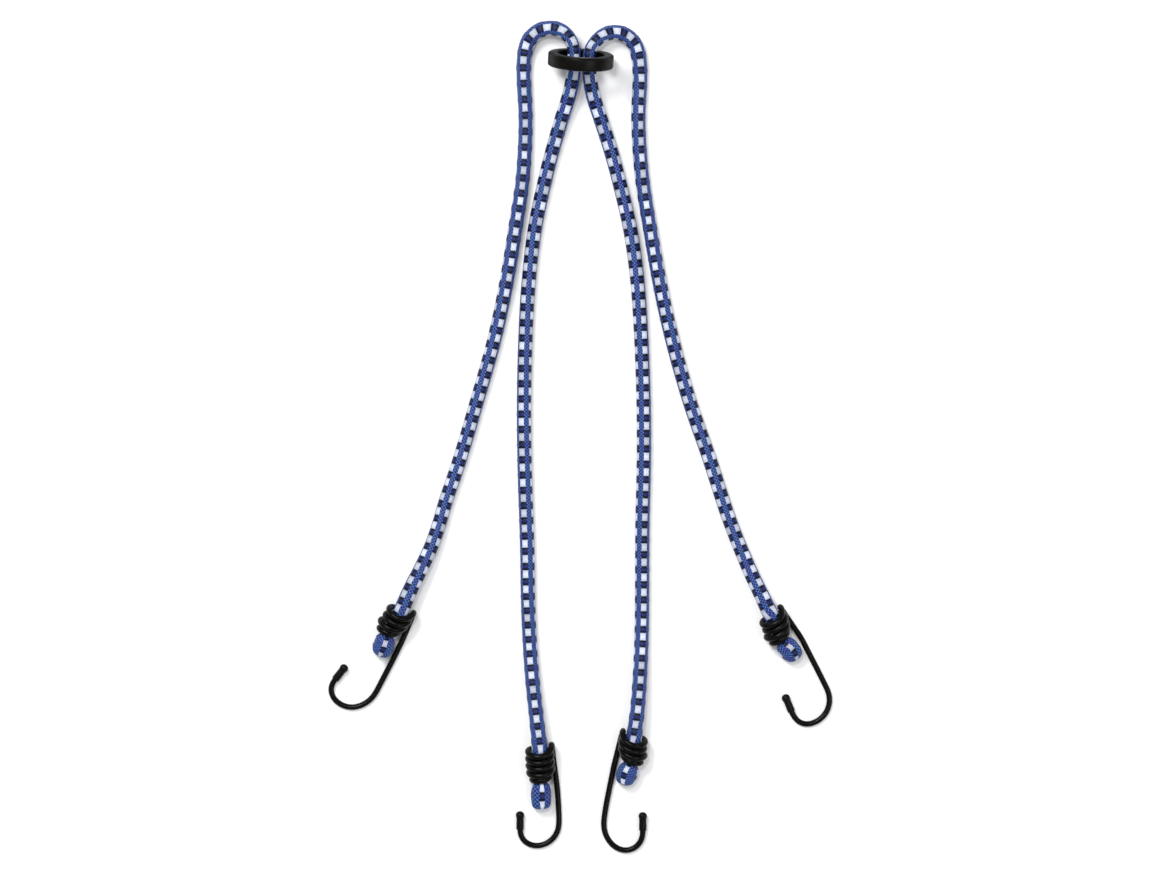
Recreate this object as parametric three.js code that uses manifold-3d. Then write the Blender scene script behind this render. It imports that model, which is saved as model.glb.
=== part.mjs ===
// Spider bungee strap: two braided elastic cords that loop through one ring, with four coiled wire hooks.
// Millimetres, +Z up. It lies flat on the surface z = 0, and the ring stands on the origin.
import * as THREE from "three";
import { mergeVertices } from "three/addons/utils/BufferGeometryUtils.js";
import Module from "manifold-3d";

const wasm = await Module();
wasm.setup();

// Plan grid: squares of 0.56 mm, counted to the right and downwards. The origin is square 581, 58.6.
const GRID = 0.56;
const ORIGIN_X = 581;
const ORIGIN_Y = 58.6;

const CORD_SIDES = 10;
const CORD_CORNER_R = 4.1;
const CORD_REST_Z = 3.88;
const NECK_R = 2.45;

const WIRE_R = 1.58;
const WIRE_SIDES = 8;
const COIL_R_TOP = 6.3;
const COIL_R_BODY = 6.4;
const COIL_R_END = 4.4;
const COIL_GAP = 3.2;

// A turn is wider across the cord than it is high. On top it slopes towards the bulb, the first turn most.
const COIL_WIDE = 1.08;
const COIL_SLOPE_TOP = 0.58;
const COIL_SLOPE_END = 0.23;

// Shares of the coil's length: where it is at its widest, where it starts to lean away from the shank, and
// where its taper starts and ends.
const COIL_FULL = 0.3;
const COIL_LEAN_START = 0.25;
const COIL_TAPER = 0.74;
const COIL_TAPERED = 0.98;

// The shank's top bend: towards the shank's side, up, and down the cord from the coil's start.
const SHANK_TOP = [
  [6.8, 0.4, 0.2], [6.7, -2.3, -0.8], [6.8, -5.3, -0.2], [7.0, -7.0, 2.6],
];

const RING_OUTER_R = 18.35;
const RING_INNER_R = 13.15;
const RING_HEIGHT = 7.6;
const RING_EDGE = 1.2;
const RING_EDGE_SHARE = 0.3;
const RING_SIDES = 36;
const RING_Z = 18.23;
const RING_FOOT_Y = 2.0;
const RING_LEAN = THREE.MathUtils.degToRad(13);
const RING_ROLL = THREE.MathUtils.degToRad(-3.5);

const CAP_R = 2.3;
const CAP_BALL_R = 2.5;
const CAP_BORE_R = 1.98;
const CAP_LENGTH = 10.5;

const COLOURS = { cord: 0x3a4fa8, ring: 0x15150f, wire: 0x15150f, cap: 0x1a1a16 };

// Grid square and height to a point in space.
const at = (x, y, z = CORD_REST_Z) => new THREE.Vector3((x - ORIGIN_X) * GRID, (ORIGIN_Y - y) * GRID, z);

// A smooth curve through hand-placed points, walked evenly from point to point.
class Route extends THREE.CatmullRomCurve3 {
  getPointAt(t, target) {
    return this.getPoint(t, target);
  }
  getTangentAt(t, target) {
    return this.getTangent(t, target);
  }
}

function polygon(sides, radius) {
  const shape = new THREE.Shape();
  for (let i = 0; i < sides; i++) {
    const angle = ((i + 0.5) * 2 * Math.PI) / sides;
    const x = radius * Math.cos(angle);
    const y = radius * Math.sin(angle);
    if (i === 0) shape.moveTo(x, y);
    else shape.lineTo(x, y);
  }
  shape.closePath();
  return shape;
}

function tube(points, sides, radius, stepsPerSpan) {
  const path = new Route(points, false, "centripetal");
  return new THREE.ExtrudeGeometry(polygon(sides, radius), {
    steps: (points.length - 1) * stepsPerSpan,
    bevelEnabled: false,
    extrudePath: path,
  });
}

function solid(geometry) {
  const bare = geometry.index ? geometry.toNonIndexed() : geometry.clone();
  bare.deleteAttribute("normal");
  bare.deleteAttribute("uv");
  const merged = mergeVertices(bare, 1e-4);
  const corners = new Float32Array(merged.attributes.position.array);
  const index = new Uint32Array(merged.index.array);
  const whole = [];
  for (let i = 0; i < index.length; i += 3) {
    const [a, b, c] = [index[i], index[i + 1], index[i + 2]];
    if (a !== b && b !== c && c !== a) whole.push(a, b, c);
  }
  const mesh = new wasm.Mesh({ numProp: 3, vertProperties: corners, triVerts: new Uint32Array(whole) });
  const made = new wasm.Manifold(mesh);
  return made.volume() < 0 ? turned(mesh) : made;
}

function turned(mesh) {
  const triVerts = new Uint32Array(mesh.triVerts.length);
  for (let i = 0; i < triVerts.length; i += 3) {
    triVerts[i] = mesh.triVerts[i];
    triVerts[i + 1] = mesh.triVerts[i + 2];
    triVerts[i + 2] = mesh.triVerts[i + 1];
  }
  return new wasm.Manifold(new wasm.Mesh({ numProp: 3, vertProperties: mesh.vertProperties, triVerts }));
}

function asMesh(name, made, colour) {
  const resting = made.trimByPlane([0, 0, 1], 0);
  const data = resting.getMesh();
  const geometry = new THREE.BufferGeometry();
  geometry.setAttribute("position", new THREE.BufferAttribute(new Float32Array(data.vertProperties), 3));
  geometry.setIndex(new THREE.BufferAttribute(new Uint32Array(data.triVerts), 1));
  geometry.computeVertexNormals();
  const mesh = new THREE.Mesh(geometry, new THREE.MeshStandardMaterial({ color: colour, roughness: 0.6 }));
  mesh.name = name;
  return mesh;
}

// Turns a lathe's own axis, +Y, along a direction and sets it down at a point.
function placed(geometry, start, direction) {
  const turn = new THREE.Quaternion().setFromUnitVectors(new THREE.Vector3(0, 1, 0), direction);
  geometry.applyQuaternion(turn);
  geometry.translate(start.x, start.y, start.z);
  return geometry;
}

const profile = (rows) => rows.map(([r, y]) => new THREE.Vector2(r, y));

// Hooks. entry and bulb are the middle of the coil's first turn and of the cord's swollen end.
// rise is how far the coil starts above entry, and lean is how far its end lies away from the shank.
// jaw runs from the shank below the coil, round the bend, to the wire's end in its cap.
const HOOKS = {
  left_outer: {
    entry: at(400.5, 612.5, 9.3),
    bulb: at(383.4, 646.4, 5.85),
    side: 1,
    rise: 2.2,
    turns: 3.5,
    bulbHalf: 5.8,
    lean: 1.8,
    jaw: [
      [402, 641], [394.6, 656.3], [387, 671], [379.6, 685.4], [373, 696.8], [363.4, 704.4], [352, 707.3],
      [341.5, 704.6], [334, 698.2], [331.2, 690.5], [332.4, 684], [335.6, 678.9], [339.2, 674.4],
      [342.8, 669.8],
    ],
  },
  left_inner: {
    entry: at(539.8, 750, 9.3),
    bulb: at(541, 796, 5.55),
    side: 1,
    rise: 2.0,
    turns: 4.5,
    bulbHalf: 6.8,
    lean: -0.2,
    jaw: [
      [557, 786], [558, 798], [558.6, 810], [559, 820], [558, 829.5], [553.7, 837.5], [546.5, 843.2],
      [537.5, 845.6], [528.5, 843.6], [522.4, 838.2], [520.4, 832.4], [520.1, 827], [520.1, 822],
      [520.1, 817],
    ],
  },
  right_inner: {
    entry: at(633.3, 739.8, 9.3),
    bulb: at(626.5, 774.5, 5.8),
    side: -1,
    rise: 2.8,
    turns: 3.5,
    bulbHalf: 5.8,
    lean: 1.6,
    jaw: [
      [613.8, 766], [610.6, 782], [607.4, 798], [604.6, 814], [603.7, 826], [606.4, 836.2], [612.4, 844.4],
      [619.8, 849], [627.6, 850], [635.2, 847.2], [640.6, 841], [642.5, 834.4], [642.7, 829],
      [642.7, 823.5], [642.7, 818],
    ],
  },
  right_outer: {
    entry: at(771.5, 616.5, 9.3),
    bulb: at(790.2, 650.7, 5.9),
    side: 1,
    rise: 1.4,
    turns: 3.5,
    bulbHalf: 6.1,
    lean: 2.2,
    jaw: [
      [800.5, 637], [808.5, 652.5], [816.5, 668], [823.5, 682], [828.2, 692], [829.4, 701], [827, 710.5],
      [821, 718.2], [813.2, 722.8], [805.4, 723.9], [798, 721], [793.4, 715.4], [790.9, 710.3],
      [788.8, 705.2], [786.6, 700],
    ],
  },
};

// The bend lies on the surface. From it the shank rises slowly to the coil, and the tip to clear its cap.
const BEND_Z = WIRE_R - 0.15;
const SHANK_RISE = 0.02;
const TIP_RISE = 0.085;

// The coil's own directions: a runs down the cord to the bulb, e points to the shank, top points up.
function frameOf(hook) {
  const a = hook.bulb.clone().sub(hook.entry).normalize();
  const right = new THREE.Vector3(0, 0, 1).cross(a).normalize();
  const e = right.clone().multiplyScalar(hook.side);
  const top = a.clone().cross(right).normalize();
  return { a, e, top };
}

const lengthOf = (hook) => hook.bulb.distanceTo(hook.entry);
const coilEnd = (hook) => lengthOf(hook) - hook.bulbHalf - COIL_GAP;

const { lerp, smoothstep } = THREE.MathUtils;

function coilRadius(share) {
  if (share < COIL_FULL) return lerp(COIL_R_TOP, COIL_R_BODY, share / COIL_FULL);
  return lerp(COIL_R_BODY, COIL_R_END, smoothstep(share, COIL_TAPER, COIL_TAPERED));
}

// How far the coil, and the cord in it, lie off the straight line to the bulb, away from the shank.
function leanAt(hook, run) {
  const share = (run + hook.rise) / (coilEnd(hook) + hook.rise);
  const back = smoothstep(run, coilEnd(hook), lengthOf(hook));
  return hook.lean * smoothstep(share, COIL_LEAN_START, COIL_TAPERED) * (1 - back);
}

function wirePoints(hook) {
  const { a, e, top } = frameOf(hook);
  const spot = (alongE, alongTop, alongA) =>
    hook.entry.clone().addScaledVector(e, alongE).addScaledVector(top, alongTop).addScaledVector(a, alongA);
  const count = Math.round(hook.turns * 6);
  const around = (i) => {
    const share = i / count;
    const angle = (i * Math.PI) / 3;
    const r = coilRadius(share);
    const run = lerp(-hook.rise, coilEnd(hook), share);
    const alongTop = r * Math.sin(angle);
    const slope = alongTop > 0 ? lerp(COIL_SLOPE_TOP, COIL_SLOPE_END, share) : COIL_SLOPE_END;
    return spot(r * COIL_WIDE * Math.cos(angle) - leanAt(hook, run), alongTop, run + alongTop * slope);
  };
  const points = [around(count), around(count - 0.3)];
  for (let i = count - 1; i >= 1; i--) points.push(around(i));
  const bend = SHANK_TOP.map(([alongE, alongTop, alongA]) => spot(alongE, alongTop, alongA - hook.rise));
  const foot = jawPoints(hook)[0];
  const shank = [1 / 3, 2 / 3].map((share) => bend[bend.length - 1].clone().lerp(foot, share));
  return [...points, ...bend, ...shank];
}

function jawPoints(hook) {
  const { a } = frameOf(hook);
  const flat = hook.jaw.map(([x, y]) => at(x, y, 0));
  const run = flat.map((point) => point.clone().sub(hook.entry).dot(a));
  const furthest = Math.max(...run);
  const bend = run.indexOf(furthest);
  flat.forEach((point, i) => {
    point.z = BEND_Z + (furthest - run[i]) * (i < bend ? SHANK_RISE : TIP_RISE);
  });
  return flat;
}

function hookWire(hook) {
  const points = [...wirePoints(hook), ...jawPoints(hook)];
  return solid(tube(points, WIRE_SIDES, WIRE_R, 2));
}

function tipCap(hook) {
  const jaw = jawPoints(hook);
  const end = jaw[jaw.length - 1];
  const before = jaw[jaw.length - 2];
  const direction = end.clone().sub(before).normalize();
  const start = end.clone().addScaledVector(direction, 0.5 - CAP_LENGTH + CAP_BALL_R + 0.6);
  const rows = [
    [CAP_BORE_R, 0],
    [CAP_R - 0.1, 0],
    [CAP_R, 0.5],
    [CAP_R, CAP_LENGTH - 4.6],
    [CAP_BALL_R, CAP_LENGTH - 3.6],
    [CAP_BALL_R, CAP_LENGTH - 2.2],
    [CAP_BALL_R * 0.82, CAP_LENGTH - 0.95],
    [CAP_BALL_R * 0.45, CAP_LENGTH - 0.2],
    [0, CAP_LENGTH],
    [0, CAP_LENGTH - 2.2],
    [CAP_BORE_R, CAP_LENGTH - 2.2],
    [CAP_BORE_R, 0],
  ];
  return solid(placed(new THREE.LatheGeometry(profile(rows), 12), start, direction));
}

// The cord's squeezed neck inside the coil and its swollen end beyond it.
function cordEnd(hook) {
  const { a, e } = frameOf(hook);
  const neck = coilEnd(hook);
  const bulb = lengthOf(hook);
  const half = hook.bulbHalf;
  const wide = hook.bulb.z;
  const rows = [
    [0, 1.5],
    [3.6, 1.5],
    [3.6, 3.2],
    [3.6, (neck - 1.8) / 2],
    [3.5, neck - 6.0],
    [3.1, neck - 4.8],
    [NECK_R, neck - 1.8],
    [NECK_R, neck + 0.9],
    [2.85, neck + 2.0],
    [wide * 0.86, bulb - half * 0.6],
    [wide, bulb - half * 0.2],
    [wide, bulb + half * 0.1],
    [wide * 0.9, bulb + half * 0.46],
    [wide * 0.68, bulb + half * 0.78],
    [wide * 0.34, bulb + half * 0.96],
    [0, bulb + half],
  ];
  const end = placed(new THREE.LatheGeometry(profile(rows), 12), hook.entry, a);
  const corners = end.attributes.position;
  for (let i = 0; i < corners.count; i++) {
    const corner = new THREE.Vector3().fromBufferAttribute(corners, i);
    corner.addScaledVector(e, -leanAt(hook, corner.clone().sub(hook.entry).dot(a)));
    corners.setXYZ(i, corner.x, corner.y, corner.z);
  }
  return solid(end);
}

// Each cord's middle line, from its outer hook over the loop, through the ring, to its inner hook.
const LEFT_ROUTE = [
  at(411.5, 588, 9.3), at(421.5, 568, 7.9), at(431, 547.5, 6.1), at(438.8, 525.5, 4.6), at(445.3, 503),
  at(459.7, 460), at(475.7, 406), at(494.3, 340), at(505.9, 286), at(515.1, 230), at(523, 176),
  at(525.7, 121), at(523.8, 73), at(524.8, 54.5, 4.4), at(528.4, 42, 5.5), at(537.4, 32.7, 7.1),
  at(549.8, 29.3, 8.9), at(562, 32.2, 10.6), at(570.6, 41.2, 11.6), at(573.9, 52, 11.9),
  at(574, 61, 11.7), at(573.9, 69, 11.2), at(572.8, 79, 10.2), at(568.9, 97, 7.8), at(561.3, 121, 5.2),
  at(553.4, 148, 4.1), at(546.2, 176), at(534.8, 230), at(528.4, 286), at(525.4, 340), at(524, 406),
  at(524.6, 464), at(527.2, 547), at(528.2, 605), at(530.4, 652, 4.4), at(533, 684, 6.4),
  at(536, 711, 8.6), at(538.2, 732, 9.4),
];

const RIGHT_ROUTE = [
  at(761.2, 595, 9.3), at(751, 573.6, 7.8), at(741.4, 551, 6), at(734.2, 533, 4.6), at(726.8, 513),
  at(709.8, 460.5), at(687.9, 396.5), at(666.6, 317), at(650, 229), at(641.8, 176), at(638.3, 121),
  at(639.9, 73), at(638.4, 56.5, 4.4), at(634.8, 45.3, 5.5), at(626.3, 36.5, 7.1), at(614.4, 33.5, 8.9),
  at(602.6, 36.9, 10.6), at(593.8, 45.4, 11.6), at(589.9, 54, 11.9), at(589.3, 61.5, 11.7),
  at(589.3, 69, 11.2), at(589.8, 79, 10.2), at(593.2, 97, 7.8), at(601, 121, 5.2), at(609.8, 148, 4.1),
  at(617.6, 176), at(630.2, 230), at(636.4, 273), at(640, 317), at(643.4, 398), at(643.7, 461),
  at(642.4, 522.5), at(642, 598), at(641.6, 630, 4.1), at(640.6, 660, 5.4), at(639, 688, 7.6),
  at(637, 712, 9.1), at(635, 727, 9.4),
];

function cord(route, first, last) {
  const inside = (hook, run) => hook.entry.clone().addScaledVector(frameOf(hook).a, run);
  const points = [inside(first, 3), inside(first, -2), ...route, inside(last, -2), inside(last, 3)];
  const length = tube(points, CORD_SIDES, CORD_CORNER_R, 2);
  return solid(length).add(cordEnd(first)).add(cordEnd(last));
}

function ring() {
  const half = RING_HEIGHT / 2;
  const soft = RING_EDGE * RING_EDGE_SHARE;
  const rows = [
    [RING_INNER_R, -half + RING_EDGE],
    [RING_INNER_R + soft, -half + soft],
    [RING_INNER_R + RING_EDGE, -half],
    [RING_OUTER_R - RING_EDGE, -half],
    [RING_OUTER_R - soft, -half + soft],
    [RING_OUTER_R, -half + RING_EDGE],
    [RING_OUTER_R, half - RING_EDGE],
    [RING_OUTER_R - soft, half - soft],
    [RING_OUTER_R - RING_EDGE, half],
    [RING_INNER_R + RING_EDGE, half],
    [RING_INNER_R + soft, half - soft],
    [RING_INNER_R, half - RING_EDGE],
    [RING_INNER_R, -half + RING_EDGE],
  ];
  const geometry = new THREE.LatheGeometry(profile(rows), RING_SIDES);
  geometry.rotateX(RING_LEAN);
  geometry.translate(0, -RING_FOOT_Y, RING_Z);
  geometry.rotateZ(RING_ROLL);
  return solid(geometry);
}

const part = new THREE.Group();
part.name = "spider_bungee_strap";
part.add(asMesh("cord_left", cord(LEFT_ROUTE, HOOKS.left_outer, HOOKS.left_inner), COLOURS.cord));
part.add(asMesh("cord_right", cord(RIGHT_ROUTE, HOOKS.right_outer, HOOKS.right_inner), COLOURS.cord));
part.add(asMesh("center_ring", ring(), COLOURS.ring));
for (const [place, hook] of Object.entries(HOOKS)) {
  part.add(asMesh(`hook_${place}`, hookWire(hook), COLOURS.wire));
  part.add(asMesh(`tip_${place}`, tipCap(hook), COLOURS.cap));
}

export default part;
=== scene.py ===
import math

import bpy
import numpy as np
from mathutils import Matrix, Vector


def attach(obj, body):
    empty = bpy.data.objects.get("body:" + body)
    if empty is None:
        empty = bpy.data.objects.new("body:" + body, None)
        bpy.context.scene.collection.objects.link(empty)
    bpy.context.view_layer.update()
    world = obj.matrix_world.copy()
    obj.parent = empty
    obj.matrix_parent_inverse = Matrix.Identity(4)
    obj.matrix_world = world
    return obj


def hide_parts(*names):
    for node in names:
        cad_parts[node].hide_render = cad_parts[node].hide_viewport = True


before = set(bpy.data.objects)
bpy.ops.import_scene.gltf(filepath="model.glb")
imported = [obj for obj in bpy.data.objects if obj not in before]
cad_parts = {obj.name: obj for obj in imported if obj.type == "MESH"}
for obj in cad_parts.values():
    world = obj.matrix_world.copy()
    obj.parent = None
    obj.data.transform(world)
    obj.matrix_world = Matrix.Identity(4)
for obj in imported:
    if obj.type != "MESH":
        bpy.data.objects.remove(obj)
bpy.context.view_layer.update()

# Plan grid of the cord routes: squares of 0.56 mm, counted to the right and downwards, in metres.
GRID = 0.00056
ORIGIN_X = 581
ORIGIN_Y = 58.6
CORD_REST_Z = 0.00388

# The picture is this many grid squares wide and high, and the camera looks straight down at its middle.
PICTURE_WIDTH = 1160
PICTURE_HEIGHT = 871
CAMERA_HEIGHT = 3.0
SENSOR_WIDTH = 36

MM = 0.001
FLOOR_CLEARANCE = 0.02 * MM


def at(x, y, z=CORD_REST_Z):
    """Grid square and height to a point in space."""
    return ((x - ORIGIN_X) * GRID, (ORIGIN_Y - y) * GRID, z)


def make_camera():
    """A long lens straight above the strap."""
    middle = at(PICTURE_WIDTH / 2, PICTURE_HEIGHT / 2, CAMERA_HEIGHT)
    bpy.ops.object.camera_add(location=middle, rotation=(0, 0, 0))
    camera = bpy.context.object
    camera.name = "camera"
    camera.data.sensor_width = SENSOR_WIDTH
    camera.data.lens = SENSOR_WIDTH * CAMERA_HEIGHT / (PICTURE_WIDTH * GRID)
    bpy.context.scene.camera = camera


# Materials

def linear(hex_colour):
    """An sRGB hex colour as linear red, green, blue and alpha."""
    parts = [int(hex_colour[i:i + 2], 16) / 255 for i in (1, 3, 5)]
    return (*[c / 12.92 if c <= 0.04045 else ((c + 0.055) / 1.055) ** 2.4 for c in parts], 1)


def add(tree, kind, inputs=None, **settings):
    """Adds a node, sets it up and links it. Inputs go from socket to a value or another node's socket."""
    made = tree.nodes.new(kind)
    for name, value in settings.items():
        setattr(made, name, value)
    for socket, value in (inputs or {}).items():
        if isinstance(value, bpy.types.NodeSocket):
            tree.links.new(value, made.inputs[socket])
        else:
            made.inputs[socket].default_value = value
    return made


def new_material(name):
    """An empty material with its output, and the tree that its nodes go into."""
    material = bpy.data.materials.new(name)
    material.use_nodes = True
    tree = material.node_tree
    tree.nodes.clear()
    return material, tree


def finish_material(tree, shader):
    add(tree, "ShaderNodeOutputMaterial", {"Surface": shader.outputs["BSDF"]})


def set_stops(ramp, stops):
    """Gives a colour ramp its stops, each a place and a hex colour."""
    elements = ramp.color_ramp.elements
    while len(elements) < len(stops):
        elements.new(0.5)
    for element, (place, colour) in zip(elements, stops):
        element.position = place
        element.color = linear(colour)


# The sheath is braided from 12 pairs of yarns. One repeat of the tracer pattern spans 4.5 crossings.
BRAID_YARNS = 12
CROSSINGS_PER_REPEAT = 4.5

# Four columns of tracer threads, white and black. Counted from the middle of a white block, the white ends
# and the black block's lighter middle, a painted highlight, starts at these shares of a repeat. The blocks'
# ends and sides are ragged by the last two.
COLUMNS = 4
COLUMN_THREADS = 9
RAGGED_THREADS = 36
WHITE_HALF_LENGTH = 0.26
DARK_CROWN_START = 0.385
DARK_WIDENING = 0.12
RAGGED_ENDS = 0.10
RAGGED_SIDES = 0.06


def braided_polyester():
    """Braided polyester sheath: royal blue yarn with four columns of white and black tracer yarns.

    The yarn is bright filament. Its colour carries painted light: a painted highlight on each crown and
    painted shade in the crossings between them. The black tracer blocks are painted lighter in their
    middles, a painted highlight, and the white ones darker towards their ends, a painted shade.
    """
    material, tree = new_material("braided_polyester")
    uv = add(tree, "ShaderNodeUVMap", uv_map="braid")
    split = add(tree, "ShaderNodeSeparateXYZ", {0: uv.outputs["UV"]})
    around = split.outputs["X"]
    along = split.outputs["Y"]

    # Ragged ends and sides of the tracer blocks, thread by thread.
    stretch = add(tree, "ShaderNodeVectorMath", {0: uv.outputs["UV"], 1: (COLUMNS * RAGGED_THREADS, 3, 1)},
                  operation="MULTIPLY")
    ragged = add(tree, "ShaderNodeTexNoise", {"Vector": stretch.outputs[0], "Scale": 1, "Detail": 1})
    shift = add(tree, "ShaderNodeMath", {0: ragged.outputs["Fac"], 1: 0.5}, operation="SUBTRACT")
    end_shift = add(tree, "ShaderNodeMath", {0: shift.outputs[0], 1: RAGGED_ENDS}, operation="MULTIPLY")

    row = add(tree, "ShaderNodeMath", {0: along, 1: 0.5}, operation="PINGPONG")
    ragged_row = add(tree, "ShaderNodeMath", {0: row.outputs[0], 1: end_shift.outputs[0]}, operation="ADD")
    twice = add(tree, "ShaderNodeMath", {0: ragged_row.outputs[0], 1: 2}, operation="MULTIPLY")
    tracer = add(tree, "ShaderNodeValToRGB", {0: twice.outputs[0]})
    white_end = WHITE_HALF_LENGTH * 2
    dark_crown_start = DARK_CROWN_START * 2
    # The white is painted darker towards its ends (painted shade). The black block's middle is painted
    # lighter and bluer (painted highlight).
    set_stops(tracer, [
        (0, "#D2D7E2"), (white_end - 0.06, "#B4BCD4"), (white_end + 0.01, "#03040A"),
        (dark_crown_start - 0.03, "#03040A"), (dark_crown_start + 0.05, "#162050"), (1, "#1E2A60"),
    ])

    turns = add(tree, "ShaderNodeMath", {0: around, 1: COLUMNS}, operation="MULTIPLY")
    inside = add(tree, "ShaderNodeMath", {0: turns.outputs[0], 1: 0.5}, operation="PINGPONG")
    side_shift = add(tree, "ShaderNodeMath", {0: shift.outputs[0], 1: RAGGED_SIDES}, operation="MULTIPLY")
    ragged_side = add(tree, "ShaderNodeMath", {0: inside.outputs[0], 1: side_shift.outputs[0]},
                      operation="ADD")

    # The column's half width changes along the cord, and its dark blocks are a little wider.
    width = add(tree, "ShaderNodeAttribute", attribute_name="tracer_width")
    dark = add(tree, "ShaderNodeMath", {0: row.outputs[0], 1: DARK_WIDENING}, operation="MULTIPLY")
    widened = add(tree, "ShaderNodeMath", {0: width.outputs["Fac"], 1: dark.outputs[0]}, operation="ADD")
    reach = add(tree, "ShaderNodeMath", {0: ragged_side.outputs[0], 1: widened.outputs[0]}, operation="ADD")
    column = add(tree, "ShaderNodeMapRange", {
        "Value": reach.outputs[0], "From Min": 0.5, "From Max": 0.55,
    }, interpolation_type="SMOOTHSTEP")

    # Each block has taken dye and dirt a little differently from the next.
    whole_row = add(tree, "ShaderNodeMath", {0: along, 1: 0.5}, operation="ADD")
    row_number = add(tree, "ShaderNodeMath", {0: whole_row.outputs[0]}, operation="FLOOR")
    column_number = add(tree, "ShaderNodeMath", {0: turns.outputs[0]}, operation="FLOOR")
    block = add(tree, "ShaderNodeCombineXYZ", {0: row_number.outputs[0], 1: column_number.outputs[0]})
    chance = add(tree, "ShaderNodeTexWhiteNoise", {"Vector": block.outputs[0]})
    block_shade = add(tree, "ShaderNodeMapRange", {
        "Value": chance.outputs["Value"], "To Min": 0.72, "To Max": 1.15,
    })

    # Left and right hand yarns, which take turns to pass over each other.
    wide = add(tree, "ShaderNodeMath", {0: around, 1: BRAID_YARNS}, operation="MULTIPLY")
    steep = add(tree, "ShaderNodeMath", {0: along, 1: CROSSINGS_PER_REPEAT}, operation="MULTIPLY")
    left = add(tree, "ShaderNodeMath", {0: wide.outputs[0], 1: steep.outputs[0]}, operation="ADD")
    right = add(tree, "ShaderNodeMath", {0: wide.outputs[0], 1: steep.outputs[0]}, operation="SUBTRACT")
    left_crown = add(tree, "ShaderNodeMath", {0: left.outputs[0], 1: 0.5}, operation="PINGPONG")
    right_crown = add(tree, "ShaderNodeMath", {0: right.outputs[0], 1: 0.5}, operation="PINGPONG")
    cell = add(tree, "ShaderNodeCombineXYZ", {0: left.outputs[0], 1: right.outputs[0], 2: 0.5})
    over = add(tree, "ShaderNodeTexChecker", {"Vector": cell.outputs[0], "Scale": 1})
    crown = add(tree, "ShaderNodeMix", {
        "Factor": over.outputs["Fac"],
        "A": left_crown.outputs[0],
        "B": right_crown.outputs[0],
    })
    full = add(tree, "ShaderNodeMath", {0: crown.outputs["Result"], 1: 2}, operation="MULTIPLY")
    # The yarn's colour follows its height: painted shade in the crossings and a painted highlight on each
    # crown.
    yarn = add(tree, "ShaderNodeValToRGB", {0: full.outputs[0]})
    set_stops(yarn, [(0, "#080F2C"), (0.35, "#1E2F70"), (0.8, "#3A559C"), (1, "#7E9AD4")])

    # Dye and wear vary slowly along the cord, from a violet cast to a greenish one.
    patches = add(tree, "ShaderNodeTexNoise", {"Vector": uv.outputs["UV"], "Scale": 2.5, "Detail": 2})
    cast = add(tree, "ShaderNodeValToRGB", {0: patches.outputs["Fac"]})
    set_stops(cast, [(0.3, "#D2BCEC"), (0.5, "#F0F0F0"), (0.7, "#BEF6F0")])
    dyed = add(tree, "ShaderNodeMix", {
        "Factor": 1.0,
        6: yarn.outputs["Color"],
        7: cast.outputs["Color"],
    }, data_type="RGBA", blend_type="MULTIPLY")

    # Across each tracer thread the colour runs from painted shade at its sides to a lighter crown. The block
    # tone multiplied in with it is random.
    threads = add(tree, "ShaderNodeMath", {0: turns.outputs[0], 1: COLUMN_THREADS}, operation="MULTIPLY")
    thread = add(tree, "ShaderNodeMath", {0: threads.outputs[0], 1: 0.5}, operation="PINGPONG")
    thread_shade = add(tree, "ShaderNodeMapRange", {
        "Value": thread.outputs[0], "From Max": 0.5, "To Min": 0.74, "To Max": 1.06,
    })
    tracer_shade = add(tree, "ShaderNodeMath", {
        0: thread_shade.outputs["Result"],
        1: block_shade.outputs["Result"],
    }, operation="MULTIPLY")
    threaded = add(tree, "ShaderNodeMix", {
        "Factor": 1.0,
        6: tracer.outputs["Color"],
        7: tracer_shade.outputs[0],
    }, data_type="RGBA", blend_type="MULTIPLY")
    colour = add(tree, "ShaderNodeMix", {
        "Factor": column.outputs["Result"],
        6: dyed.outputs[2],
        7: threaded.outputs[2],
    }, data_type="RGBA")

    height = add(tree, "ShaderNodeMix", {
        "Factor": column.outputs["Result"],
        "A": full.outputs[0],
        "B": thread.outputs[0],
    })
    bump = add(tree, "ShaderNodeBump", {
        "Height": height.outputs["Result"], "Strength": 0.6, "Distance": 0.15 * MM,
    })
    shader = add(tree, "ShaderNodeBsdfPrincipled", {
        "Base Color": colour.outputs[2],
        "Roughness": 0.45,
        "Specular IOR Level": 0.15,
        "Normal": bump.outputs["Normal"],
    })
    finish_material(tree, shader)
    return material


def vinyl_coat():
    """Black vinyl dipped over steel wire: a soft gloss over slow lumps, which break up its highlights."""
    material, tree = new_material("dipped_vinyl")
    place = add(tree, "ShaderNodeTexCoord")
    lumps = add(tree, "ShaderNodeTexNoise", {"Vector": place.outputs["Object"], "Scale": 420, "Detail": 3})
    tint = add(tree, "ShaderNodeValToRGB", {0: lumps.outputs["Fac"]})
    set_stops(tint, [(0.3, "#020202"), (0.7, "#070706")])
    rough = add(tree, "ShaderNodeMapRange", {"Value": lumps.outputs["Fac"], "To Min": 0.18, "To Max": 0.36})
    bump = add(tree, "ShaderNodeBump", {
        "Height": lumps.outputs["Fac"], "Strength": 0.5, "Distance": 0.3 * MM,
    })
    shader = add(tree, "ShaderNodeBsdfPrincipled", {
        "Base Color": tint.outputs["Color"],
        "Roughness": rough.outputs["Result"],
        "Specular IOR Level": 0.1,
        "Normal": bump.outputs["Normal"],
    })
    finish_material(tree, shader)
    return material


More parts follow.
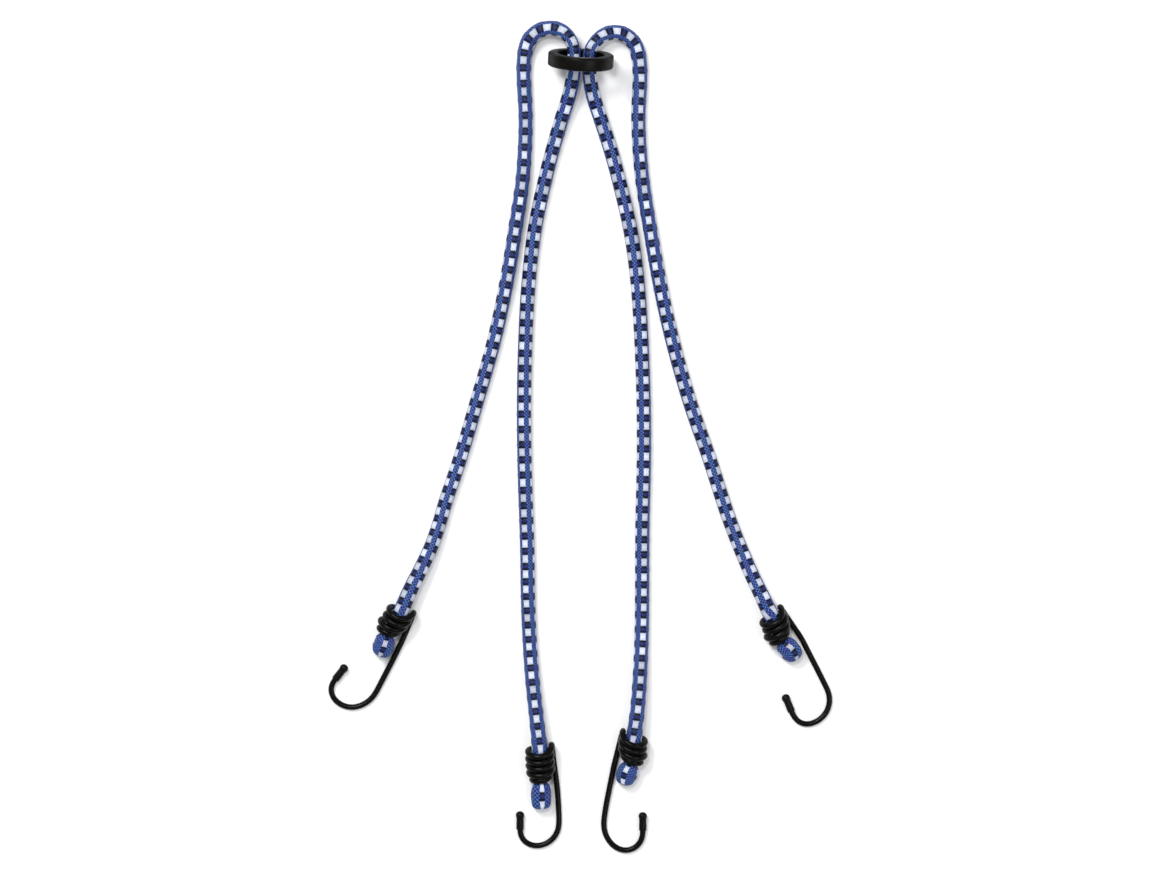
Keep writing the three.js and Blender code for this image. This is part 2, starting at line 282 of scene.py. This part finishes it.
def moulded_cap_vinyl():
    """Soft black vinyl, moulded: duller than the dipped coat, with a fine even grain."""
    material, tree = new_material("moulded_vinyl")
    place = add(tree, "ShaderNodeTexCoord")
    grain = add(tree, "ShaderNodeTexNoise", {"Vector": place.outputs["Object"], "Scale": 1500, "Detail": 2})
    tint = add(tree, "ShaderNodeValToRGB", {0: grain.outputs["Fac"]})
    set_stops(tint, [(0.3, "#020202"), (0.7, "#070706")])
    bump = add(tree, "ShaderNodeBump", {
        "Height": grain.outputs["Fac"], "Strength": 0.3, "Distance": 0.1 * MM,
    })
    shader = add(tree, "ShaderNodeBsdfPrincipled", {
        "Base Color": tint.outputs["Color"],
        "Roughness": 0.36,
        "Specular IOR Level": 0.12,
        "Normal": bump.outputs["Normal"],
    })
    finish_material(tree, shader)
    return material


RING_LEAN = math.radians(13)
RING_ROLL = math.radians(-3.5)
TOOL_MARK = 0.9 * MM


def moulded_nylon():
    """Black nylon, injection moulded: satin, with the faint turned marks of its mould round the band."""
    material, tree = new_material("moulded_nylon")
    place = add(tree, "ShaderNodeTexCoord")
    turned = add(tree, "ShaderNodeMapping", {
        "Vector": place.outputs["Object"],
        "Rotation": (-RING_LEAN, 0, -RING_ROLL),
    })
    split = add(tree, "ShaderNodeSeparateXYZ", {0: turned.outputs["Vector"]})
    ring_count = add(tree, "ShaderNodeMath", {0: split.outputs["Y"], 1: 1 / TOOL_MARK}, operation="MULTIPLY")
    marks = add(tree, "ShaderNodeMath", {0: ring_count.outputs[0], 1: 0.5}, operation="PINGPONG")
    haze = add(tree, "ShaderNodeTexNoise", {"Vector": place.outputs["Object"], "Scale": 180, "Detail": 4})
    tint = add(tree, "ShaderNodeValToRGB", {0: haze.outputs["Fac"]})
    set_stops(tint, [(0.3, "#030302"), (0.75, "#090806")])
    rough = add(tree, "ShaderNodeMapRange", {"Value": haze.outputs["Fac"], "To Min": 0.26, "To Max": 0.42})
    bump = add(tree, "ShaderNodeBump", {
        "Height": marks.outputs[0], "Strength": 0.35, "Distance": 0.1 * MM,
    })
    shader = add(tree, "ShaderNodeBsdfPrincipled", {
        "Base Color": tint.outputs["Color"],
        "Roughness": rough.outputs["Result"],
        "Specular IOR Level": 0.09,
        "Normal": bump.outputs["Normal"],
    })
    finish_material(tree, shader)
    return material


def plain_floor_paper():
    """Matte white paper."""
    material, tree = new_material("matte_paper")
    shader = add(tree, "ShaderNodeBsdfPrincipled", {
        "Base Color": linear("#F6F6F6"),
        "Roughness": 0.95,
        "Specular IOR Level": 0.1,
    })
    finish_material(tree, shader)
    return material


# Cords

# Each end of a cord: the middle of its coil's first turn, the middle of its swollen end, half the swollen
# end's length, how far its coil leans off the shank, the shank's side, and how square its tip is.
# The route between the two hooks repeats the solid's own points.
CORD_LEFT = {
    "first": {"entry": at(400.5, 612.5, 0.0093), "bulb": at(383.4, 646.4, 0.00585), "half": 0.0058,
              "lean": 0.0018, "side": 1, "square": 2.4},
    "last": {"entry": at(539.8, 750, 0.0093), "bulb": at(541, 796, 0.00555), "half": 0.0068,
             "lean": -0.0002, "side": 1, "square": 4},
    "route": [
        at(411.5, 588, 0.0093), at(421.5, 568, 0.0079), at(431, 547.5, 0.0061), at(438.8, 525.5, 0.0046),
        at(445.3, 503), at(459.7, 460), at(475.7, 406), at(494.3, 340), at(505.9, 286), at(515.1, 230),
        at(523, 176), at(525.7, 121), at(523.8, 73), at(524.8, 54.5, 0.0044), at(528.4, 42, 0.0055),
        at(537.4, 32.7, 0.0071), at(549.8, 29.3, 0.0089), at(562, 32.2, 0.0106), at(570.6, 41.2, 0.0116),
        at(573.9, 52, 0.0119), at(574, 61, 0.0117), at(573.9, 69, 0.0112), at(572.8, 79, 0.0102),
        at(568.9, 97, 0.0078), at(561.3, 121, 0.0052), at(553.4, 148, 0.0041), at(546.2, 176),
        at(534.8, 230), at(528.4, 286), at(525.4, 340), at(524, 406), at(524.6, 464), at(527.2, 547),
        at(528.2, 605), at(530.4, 652, 0.0044), at(533, 684, 0.0064), at(536, 711, 0.0086),
        at(538.2, 732, 0.0094),
    ],
    "length": 0.822,
}
CORD_RIGHT = {
    "first": {"entry": at(771.5, 616.5, 0.0093), "bulb": at(790.2, 650.7, 0.0059), "half": 0.0061,
              "lean": 0.0022, "side": 1, "square": 2.4},
    "last": {"entry": at(633.3, 739.8, 0.0093), "bulb": at(626.5, 774.5, 0.0058), "half": 0.0058,
             "lean": 0.0016, "side": -1, "square": 2.4},
    "route": [
        at(761.2, 595, 0.0093), at(751, 573.6, 0.0078), at(741.4, 551, 0.006), at(734.2, 533, 0.0046),
        at(726.8, 513), at(709.8, 460.5), at(687.9, 396.5), at(666.6, 317), at(650, 229), at(641.8, 176),
        at(638.3, 121), at(639.9, 73), at(638.4, 56.5, 0.0044), at(634.8, 45.3, 0.0055),
        at(626.3, 36.5, 0.0071), at(614.4, 33.5, 0.0089), at(602.6, 36.9, 0.0106),
        at(593.8, 45.4, 0.0116), at(589.9, 54, 0.0119), at(589.3, 61.5, 0.0117), at(589.3, 69, 0.0112),
        at(589.8, 79, 0.0102), at(593.2, 97, 0.0078), at(601, 121, 0.0052), at(609.8, 148, 0.0041),
        at(617.6, 176), at(630.2, 230), at(636.4, 273), at(640, 317), at(643.4, 398), at(643.7, 461),
        at(642.4, 522.5), at(642, 598), at(641.6, 630, 0.0041), at(640.6, 660, 0.0054),
        at(639, 688, 0.0076), at(637, 712, 0.0091), at(635, 727, 0.0094),
    ],
    "length": 0.809,
}

# How the braid runs: millimetres from the route's first point, repeats of the tracer pattern up to
# there, and degrees that the facing tracer column is turned towards the right of the travel.
BRAID_LEFT = [
    (-48.3, -7, 7), (-33.9, -5, 7), (-15, -2.3, 54), (4, 0, 54), (54, 5.9, 45), (105, 11.9, 32),
    (150, 17.2, 28), (194, 22.3, 13), (232, 26.7, 6), (256, 29.5, -2), (305, 35, -4), (338, 38.9, -4),
    (347, 40, -24), (365, 42, -22), (414, 47, -28), (450, 51, -33), (476, 54, -46), (503, 57, -58),
    (588, 67, -71), (657, 75.1, -73), (672, 77, -79), (729, 84, -90), (747, 86.2, -98),
    (766.5, 88, -98), (777.2, 89, -98), (787.9, 90, -98),
]
BRAID_RIGHT = [
    (-49.1, -7, 14), (-33.1, -5, 14), (-13.4, -2.3, -30), (-7, -1.7, -57), (7, 0, -57), (57, 6, -46),
    (110, 12.1, -34), (153, 17.2, -29), (199, 22.6, -13), (219, 24.9, -1), (246, 28, 12), (277, 31.4, 20),
    (292, 33.1, 18), (305, 34.6, 9), (317, 36, 8), (340, 38.9, 8), (349, 40, 24), (367, 42, 22),
    (416, 47, 34), (452, 51, 45), (506, 57, 59), (560, 63.4, 66), (591, 67, 67), (633, 72, 73),
    (675, 77, 76), (724, 83, 87), (741.5, 85.1, 98), (750.5, 86, 106), (758, 87, 106), (772, 89, 106),
]

# Millimetres from the route's first point, and half the tracer columns' width as a share of their spacing.
TRACER_WIDTH = [
    (-26, 0.15), (-15, 0.22), (0, 0.26), (240, 0.25), (290, 0.23), (308, 0.29), (340, 0.30), (355, 0.26),
    (725, 0.26), (745, 0.22), (760, 0.15),
]

SIDES = 64
RING_STEP = 0.545 * MM
TIP_RINGS = 14
CORD_R = 4.02
LOOP_R = 4.3
SQUEEZED_R = 3.62
NECK_R = 2.5
COIL_GAP = 3.2 * MM
PATH_STEP = 10

# How far the tracer blocks stand out, in millimetres, and the shares of a column's spacing and of a repeat
# over which they rise.
WHITE_RELIEF = 0.09
DARK_CROWN_RELIEF = 0.14
LINE_DEPTH = 0.05
SIDE_RISE = 0.08
WHITE_RISE = 0.06
DARK_CROWN_RISE = 0.08
DARK_CROWN_LEAD = 0.06

# The cord's points in and before the coil.
BEFORE_COIL = 2 * MM
INSIDE_COIL = 3 * MM
COIL_MIDDLE = 0.65
LEAN_MIDDLE = 0.6

# Radius round one cord end, in millimetres. The first rows go by the distance past the coil's first turn,
# the next by the distance past the neck, and the last too, as shares of the swollen end's radius.
COIL_ROWS = [(0, 4.25), (3, 3.9)]
NECK_ROWS = [(-6.0, 3.6), (-4.8, 3.15), (-1.8, NECK_R), (0.7, NECK_R), (1.7, 3.2), (2.6, 4.3)]
BULB_ROWS = [(3.6, 0.88), (5.2, 0.98), (6.5, 1)]

# Millimetres from the route's first point, and the cord's radius there.
THICKNESS_LEFT = [
    (-6, 4.4), (10, 4.15), (40, 3.98), (270, 3.98), (300, 4.15), (315, LOOP_R), (328, LOOP_R), (338, 4.05),
    (345, SQUEEZED_R), (353, SQUEEZED_R), (362, 3.95), (380, CORD_R), (690, 3.98), (725, 4.15), (742, 4.35),
]
THICKNESS_RIGHT = [
    (-6, 4.4), (10, 4.15), (40, 3.98), (275, 3.98), (302, 4.15), (315, LOOP_R), (328, LOOP_R), (338, 4.05),
    (345, SQUEEZED_R), (354, SQUEEZED_R), (363, 3.95), (380, CORD_R), (690, 3.98), (720, 4.15), (736, 4.35),
]


def between(first, last, first_knot, last_knot, knots):
    """Points on the straight line from first to last, at the given knots."""
    share = ((knots - first_knot) / (last_knot - first_knot))[:, None]
    return first + (last - first) * share


PER_SPAN = 30


def smooth_line(points):
    """A smooth curve through given points, with no overshoot where they lie close together."""
    points = np.array(points, dtype=float)
    reach = np.vstack([2 * points[0] - points[1], points, 2 * points[-1] - points[-2]])
    pieces = []
    for a, b, c, d in zip(reach, reach[1:], reach[2:], reach[3:]):
        gaps = [math.sqrt(np.linalg.norm(q - p)) for p, q in ((a, b), (b, c), (c, d))]
        t0, t1, t2, t3 = np.cumsum([0, *gaps])
        knots = np.linspace(t1, t2, PER_SPAN, endpoint=False)
        ab = between(a, b, t0, t1, knots)
        bc = between(b, c, t1, t2, knots)
        cd = between(c, d, t2, t3, knots)
        abc = ab + (bc - ab) * ((knots - t0) / (t2 - t0))[:, None]
        bcd = bc + (cd - bc) * ((knots - t1) / (t3 - t1))[:, None]
        pieces.append(abc + (bcd - abc) * ((knots - t1) / (t2 - t1))[:, None])
    return np.vstack([*pieces, points[-1:]])


def end_frame(end):
    """The coil's start, the way down the cord to the swollen end, and the way to the hook's shank."""
    entry = np.array(end["entry"])
    bulb = np.array(end["bulb"])
    reach = np.linalg.norm(bulb - entry)
    axis = (bulb - entry) / reach
    shank = np.cross((0, 0, 1), axis) * end["side"]
    return entry, bulb, reach, axis, shank / np.linalg.norm(shank)


def end_points(end):
    """Points of one cord end, from its tip through the swollen end and the coil to its first turn."""
    entry, bulb, reach, axis, shank = end_frame(end)
    coil_end = reach - end["half"] - COIL_GAP
    lean = -shank * end["lean"]
    return [
        bulb + axis * end["half"], bulb, entry + axis * coil_end + lean,
        entry + axis * coil_end * COIL_MIDDLE + lean * LEAN_MIDDLE,
        entry + axis * INSIDE_COIL, entry - axis * BEFORE_COIL,
    ]


def ring_stations(total, first, last):
    """Distances along the cord, from tip to tip, with the rings closer together round each tip."""
    first_half = first["half"]
    last_half = last["half"]
    angles = np.linspace(0, math.pi / 2, TIP_RINGS, endpoint=False)
    start = first_half * (1 - np.sin(angles[::-1]))[:-1]
    end = total - last_half * (1 - np.sin(angles))[1:]
    count = round((total - first_half - last_half) / RING_STEP)
    middle = np.linspace(first_half, total - last_half, count)
    return np.concatenate([start, middle, end])


def end_thickness(end, from_entry):
    """Radius in millimetres round one end, by the distance past the coil's first turn."""
    reach = end_frame(end)[2]
    middle = reach / MM
    half = end["half"] / MM
    wide = end["bulb"][2] / MM
    neck = middle - half - COIL_GAP / MM
    rows = [
        *COIL_ROWS,
        *[(neck + place, radius) for place, radius in NECK_ROWS],
        *[(neck + place, wide * share) for place, share in BULB_ROWS],
    ]
    before = np.interp(from_entry, *zip(*rows))
    past = np.clip((from_entry - middle) / half, 0, 1)
    square = end["square"]
    return np.where(from_entry < middle, before, wide * (1 - past ** square) ** (1 / square))


def relief(around, along, width):
    """How far the tracer blocks stand out from the blue braid, in millimetres."""
    inside = 0.5 - np.abs((around * COLUMNS) % 1 - 0.5)
    row = np.abs((along + 0.5) % 1 - 0.5)
    edge = np.clip((inside - 0.5 + width + row * DARK_WIDENING) / SIDE_RISE, 0, 1)
    white = np.clip((WHITE_HALF_LENGTH - row) / WHITE_RISE, 0, 1)
    dark_crown = np.clip((row - DARK_CROWN_START + DARK_CROWN_LEAD) / DARK_CROWN_RISE, 0, 1)
    return edge * (WHITE_RELIEF * white + DARK_CROWN_RELIEF * dark_crown - LINE_DEPTH)


def tube_faces(repeats):
    """Faces of a tube with a fan at each end, and the braid's map at their corners."""
    rings = len(repeats)
    first_pole = rings * SIDES
    last_pole = first_pole + 1
    faces = []
    maps = []
    for i in range(rings - 1):
        for j in range(SIDES):
            k = (j + 1) % SIDES
            faces.append((i * SIDES + j, i * SIDES + k, (i + 1) * SIDES + k, (i + 1) * SIDES + j))
            u0 = j / SIDES
            u1 = (j + 1) / SIDES
            maps += [(u0, repeats[i]), (u1, repeats[i]), (u1, repeats[i + 1]), (u0, repeats[i + 1])]
    for j in range(SIDES):
        k = (j + 1) % SIDES
        u0 = j / SIDES
        u1 = (j + 1) / SIDES
        faces.append((first_pole, k, j))
        maps += [((u0 + u1) / 2, repeats[0]), (u1, repeats[0]), (u0, repeats[0])]
        faces.append((last_pole, (rings - 1) * SIDES + j, (rings - 1) * SIDES + k))
        maps += [((u0 + u1) / 2, repeats[-1]), (u0, repeats[-1]), (u1, repeats[-1])]
    return faces, maps


def cord_mesh(name, cord, braid, thickness):
    """The whole cord as one closed tube with its braid's own map."""
    first = cord["first"]
    last = cord["last"]
    points = [*end_points(first), *[np.array(p) for p in cord["route"]], *end_points(last)[::-1]]
    line = smooth_line(points)
    measured = np.concatenate([[0], np.cumsum(np.linalg.norm(np.diff(line, axis=0), axis=1))])
    total = measured[-1]
    stations = ring_stations(total, first, last)
    middle = np.stack([np.interp(stations, measured, line[:, k]) for k in range(3)], axis=1)

    route_start = measured[len(end_points(first)) * PER_SPAN]
    run = (stations - route_start) / MM
    places, counts, degrees = zip(*braid)
    repeats = np.interp(run, places, counts)
    turn = np.radians(np.interp(run, places, degrees))
    width = np.interp(run, *zip(*TRACER_WIDTH))

    first_entry = end_frame(first)[2] + first["half"]
    last_entry = end_frame(last)[2] + last["half"]
    into_first = (first_entry - stations) / MM
    into_last = (stations - (total - last_entry)) / MM
    radius = np.interp(run, *zip(*thickness))
    radius = np.where(into_first > 0, end_thickness(first, into_first), radius)
    radius = np.where(into_last > 0, end_thickness(last, into_last), radius)

    travel = np.gradient(middle, stations, axis=0)
    travel /= np.linalg.norm(travel, axis=1)[:, None]
    right = np.cross(travel, (0, 0, 1))
    right /= np.linalg.norm(right, axis=1)[:, None]
    top = np.cross(right, travel)

    around = np.arange(SIDES) / SIDES
    angle = turn[:, None] + (around[None, :] - 0.5 / COLUMNS) * 2 * math.pi
    raised = relief(around[None, :], repeats[:, None], width[:, None])
    raised *= np.clip(radius / CORD_R, 0, 1)[:, None]
    reach = (radius[:, None] + raised) * MM
    corners = middle[:, None, :] + reach[:, :, None] * (
        top[:, None, :] * np.cos(angle)[:, :, None] + right[:, None, :] * np.sin(angle)[:, :, None])
    corners[:, :, 2] = np.maximum(corners[:, :, 2], FLOOR_CLEARANCE)

    vertices = np.vstack([corners.reshape(-1, 3), line[:1], line[-1:]])
    faces, maps = tube_faces(repeats)
    mesh = bpy.data.meshes.new(name)
    mesh.from_pydata(vertices.tolist(), [], faces)
    layer = mesh.uv_layers.new(name="braid")
    layer.data.foreach_set("uv", np.array(maps, dtype=np.float32).ravel())
    tracer_width = mesh.attributes.new("tracer_width", "FLOAT", "POINT")
    per_corner = np.concatenate([np.repeat(width, SIDES), width[:1], width[-1:]])
    tracer_width.data.foreach_set("value", per_corner.astype(np.float32))
    mesh.shade_smooth()
    return mesh, line[::PATH_STEP]


def make_cord(name, cord, braid, thickness, node, material):
    """One cord as a piece that stands for its plain solid."""
    mesh, path = cord_mesh(name, cord, braid, thickness)
    piece = bpy.data.objects.new(name, mesh)
    bpy.context.scene.collection.objects.link(piece)
    mesh.materials.append(material)
    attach(piece, "root")
    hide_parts(node)


# Hooks and their caps

def deselect():
    bpy.ops.object.select_all(action="DESELECT")


def take_up(piece):
    """Makes one object the only selected and active one."""
    deselect()
    piece.select_set(True)
    bpy.context.view_layer.objects.active = piece


def raise_to_floor(piece):
    """Lifts every corner that lies under the floor onto it."""
    for corner in piece.data.vertices:
        corner.co.z = max(corner.co.z, FLOOR_CLEARANCE)


# How much the wire is grown: what the rounding takes off it, and more in the coil, so that its turns touch.
# Only the coil stands higher than COIL_LOW.
WIRE_GROWTH = 0.17 * MM
COIL_GROWTH = 0.2 * MM
COIL_LOW = 4.8 * MM
COIL_BLEND = 2.5 * MM
WELD = 0.01 * MM
QUAD_ANGLE = math.radians(60)


def rounded_wire(node, name, material):
    """A smooth copy of a hook's faceted wire, grown again so that the coil's turns touch."""
    piece = bpy.data.objects.new(name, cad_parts[node].data.copy())
    bpy.context.scene.collection.objects.link(piece)
    piece.data.materials.clear()
    piece.data.materials.append(material)
    take_up(piece)
    bpy.ops.object.mode_set(mode="EDIT")
    bpy.ops.mesh.select_all(action="SELECT")
    bpy.ops.mesh.remove_doubles(threshold=WELD)
    bpy.ops.mesh.tris_convert_to_quads(face_threshold=QUAD_ANGLE, shape_threshold=QUAD_ANGLE)
    bpy.ops.object.mode_set(mode="OBJECT")
    rounding = piece.modifiers.new("rounding", "SUBSURF")
    rounding.levels = 2
    rounding.render_levels = 2
    bpy.ops.object.modifier_apply(modifier="rounding")
    bpy.ops.object.mode_set(mode="EDIT")
    bpy.ops.mesh.select_all(action="SELECT")
    bpy.ops.transform.shrink_fatten(value=WIRE_GROWTH)
    bpy.ops.object.mode_set(mode="OBJECT")
    # The normals are copied first: moving a corner makes Blender work them all out again.
    normals = [corner.normal.copy() for corner in piece.data.vertices]
    for corner, normal in zip(piece.data.vertices, normals):
        in_coil = min(max((corner.co.z - COIL_LOW) / COIL_BLEND, 0), 1)
        corner.co += normal * COIL_GROWTH * in_coil
    raise_to_floor(piece)
    bpy.ops.object.shade_smooth()
    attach(piece, "root")
    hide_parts(node)


# A cap's outline from its mouth to its ball end: millimetres along it, and its radius there.
CAP_SIDES = 32
CAP_BORE_DEPTH = 1.5
CAP_BORE_R = 1.72
CAP_ROWS = [
    (0, CAP_BORE_R), (0, 1.9), (0.3, 2.06), (1.2, 2.12), (3.5, 2.1), (5.4, 2.04), (6.3, 2.03),
    (6.9, 2.14), (7.5, 2.31), (8.2, 2.4), (8.9, 2.32), (9.5, 2.02), (10.0, 1.52), (10.3, 0.95),
    (10.45, 0.45),
]


def cap_frame(node):
    """Where a cap's mouth is, and the way from there to its ball end."""
    corners = np.array([tuple(v.co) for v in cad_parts[node].data.vertices])
    middle = corners.mean(axis=0)
    axis = np.linalg.svd(corners - middle)[2][0]
    run = (corners - middle) @ axis
    off = np.linalg.norm(corners - middle - run[:, None] * axis, axis=1)
    if off[run.argmax()] > off[run.argmin()]:
        axis = -axis
        run = -run
    return middle + axis * run.min(), axis


def make_cap(node, name, material):
    """A moulded cap: a circle drawn out along the cap's outline, with a bore that the wire goes into."""
    mouth, axis = cap_frame(node)
    deselect()
    bpy.ops.mesh.primitive_circle_add(vertices=CAP_SIDES, radius=CAP_BORE_R * MM, fill_type="NGON",
                                      location=(0, 0, CAP_BORE_DEPTH * MM))
    piece = bpy.context.object
    piece.name = name
    piece.data.name = name
    bpy.ops.object.transform_apply(location=True, rotation=True, scale=True)
    bpy.ops.object.mode_set(mode="EDIT")
    bpy.ops.mesh.select_all(action="SELECT")
    place, radius = CAP_BORE_DEPTH, CAP_BORE_R
    for row_place, row_radius in CAP_ROWS:
        bpy.ops.mesh.extrude_edges_move(
            TRANSFORM_OT_translate={"value": (0, 0, (row_place - place) * MM)})
        bpy.ops.transform.resize(value=(row_radius / radius, row_radius / radius, 1),
                                 center_override=(0, 0, row_place * MM))
        place, radius = row_place, row_radius
    bpy.ops.mesh.edge_face_add()
    bpy.ops.mesh.select_all(action="SELECT")
    bpy.ops.mesh.normals_make_consistent(inside=False)
    bpy.ops.object.mode_set(mode="OBJECT")
    turn = Vector((0, 0, 1)).rotation_difference(Vector(axis)).to_matrix().to_4x4()
    piece.data.transform(Matrix.Translation(Vector(mouth)) @ turn)
    bpy.ops.object.shade_smooth()
    piece.data.materials.append(material)
    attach(piece, "root")
    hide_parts(node)


# Ring

RING_OUTER_R = 18.35 * MM
RING_INNER_R = 13.15 * MM
RING_HEIGHT = 7.6 * MM
RING_EDGE = 1.2 * MM
RING_Z = 18.23 * MM
RING_FOOT_Y = 2.0 * MM
RING_STEPS = 128


def make_ring(material):
    """The ring: its wall's section, rounded at the corners, spun once round and stood up on its foot."""
    deselect()
    wall = RING_OUTER_R - RING_INNER_R
    bpy.ops.mesh.primitive_plane_add(size=1, location=((RING_OUTER_R + RING_INNER_R) / 2, 0, 0),
                                     rotation=(math.pi / 2, 0, 0))
    piece = bpy.context.object
    piece.name = "ring_moulding"
    piece.data.name = "ring_moulding"
    piece.scale = (wall, RING_HEIGHT, 1)
    bpy.ops.object.transform_apply(location=True, rotation=True, scale=True)
    bpy.ops.object.mode_set(mode="EDIT")
    bpy.ops.mesh.select_all(action="SELECT")
    bpy.ops.mesh.bevel(offset=RING_EDGE, segments=5, affect="VERTICES")
    bpy.ops.mesh.delete(type="ONLY_FACE")
    bpy.ops.mesh.select_all(action="SELECT")
    bpy.ops.mesh.spin(steps=RING_STEPS, angle=2 * math.pi, center=(0, 0, 0), axis=(0, 0, 1))
    bpy.ops.mesh.select_all(action="SELECT")
    bpy.ops.mesh.remove_doubles(threshold=WELD)
    bpy.ops.mesh.normals_make_consistent(inside=False)
    bpy.ops.object.mode_set(mode="OBJECT")
    stand = Matrix.Rotation(RING_ROLL, 4, "Z") @ Matrix.Translation((0, -RING_FOOT_Y, RING_Z))
    piece.data.transform(stand @ Matrix.Rotation(RING_LEAN - math.pi / 2, 4, "X"))
    raise_to_floor(piece)
    bpy.ops.object.shade_smooth()
    piece.data.materials.clear()
    piece.data.materials.append(material)
    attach(piece, "root")
    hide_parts("center_ring")


# Floor and light

def make_floor():
    deselect()
    bpy.ops.mesh.primitive_plane_add(size=16, location=(0, 0, 0))
    floor = bpy.context.object
    floor.name = "floor"
    floor.data.materials.append(plain_floor_paper())


def make_light(name, place, aim, size, power):
    """A square softbox that points at a spot."""
    bpy.ops.object.light_add(type="AREA", location=place)
    light = bpy.context.object
    light.name = name
    light.data.size = size
    light.data.energy = power
    light.rotation_euler = (Vector(aim) - Vector(place)).to_track_quat("-Z", "Y").to_euler()


def make_world():
    world = bpy.data.worlds.new("studio")
    bpy.context.scene.world = world
    world.use_nodes = True
    backdrop = world.node_tree.nodes["Background"]
    backdrop.inputs["Color"].default_value = (1, 1, 1, 1)
    backdrop.inputs["Strength"].default_value = 0.55


make_camera()
sheath = braided_polyester()
make_cord("cord_sheath_left", CORD_LEFT, BRAID_LEFT, THICKNESS_LEFT, "cord_left", sheath)
make_cord("cord_sheath_right", CORD_RIGHT, BRAID_RIGHT, THICKNESS_RIGHT, "cord_right", sheath)

coat = vinyl_coat()
cap_vinyl = moulded_cap_vinyl()
for side in ("left", "right"):
    for leg in ("outer", "inner"):
        place = f"{side}_{leg}"
        rounded_wire(f"hook_{place}", f"wire_{place}", coat)
        make_cap(f"tip_{place}", f"cap_{place}", cap_vinyl)
make_ring(moulded_nylon())

make_floor()
make_world()
MIDDLE = (0, -0.21, 0)
make_light("key", (-0.6, 0.6, 1.5), MIDDLE, 0.5, 19)
make_light("fill", (1.0, -0.5, 1.5), MIDDLE, 0.8, 8)
make_light("top", (-0.25, 0.25, 2.2), MIDDLE, 0.25, 13)
bpy.context.scene.view_settings.view_transform = "Standard"
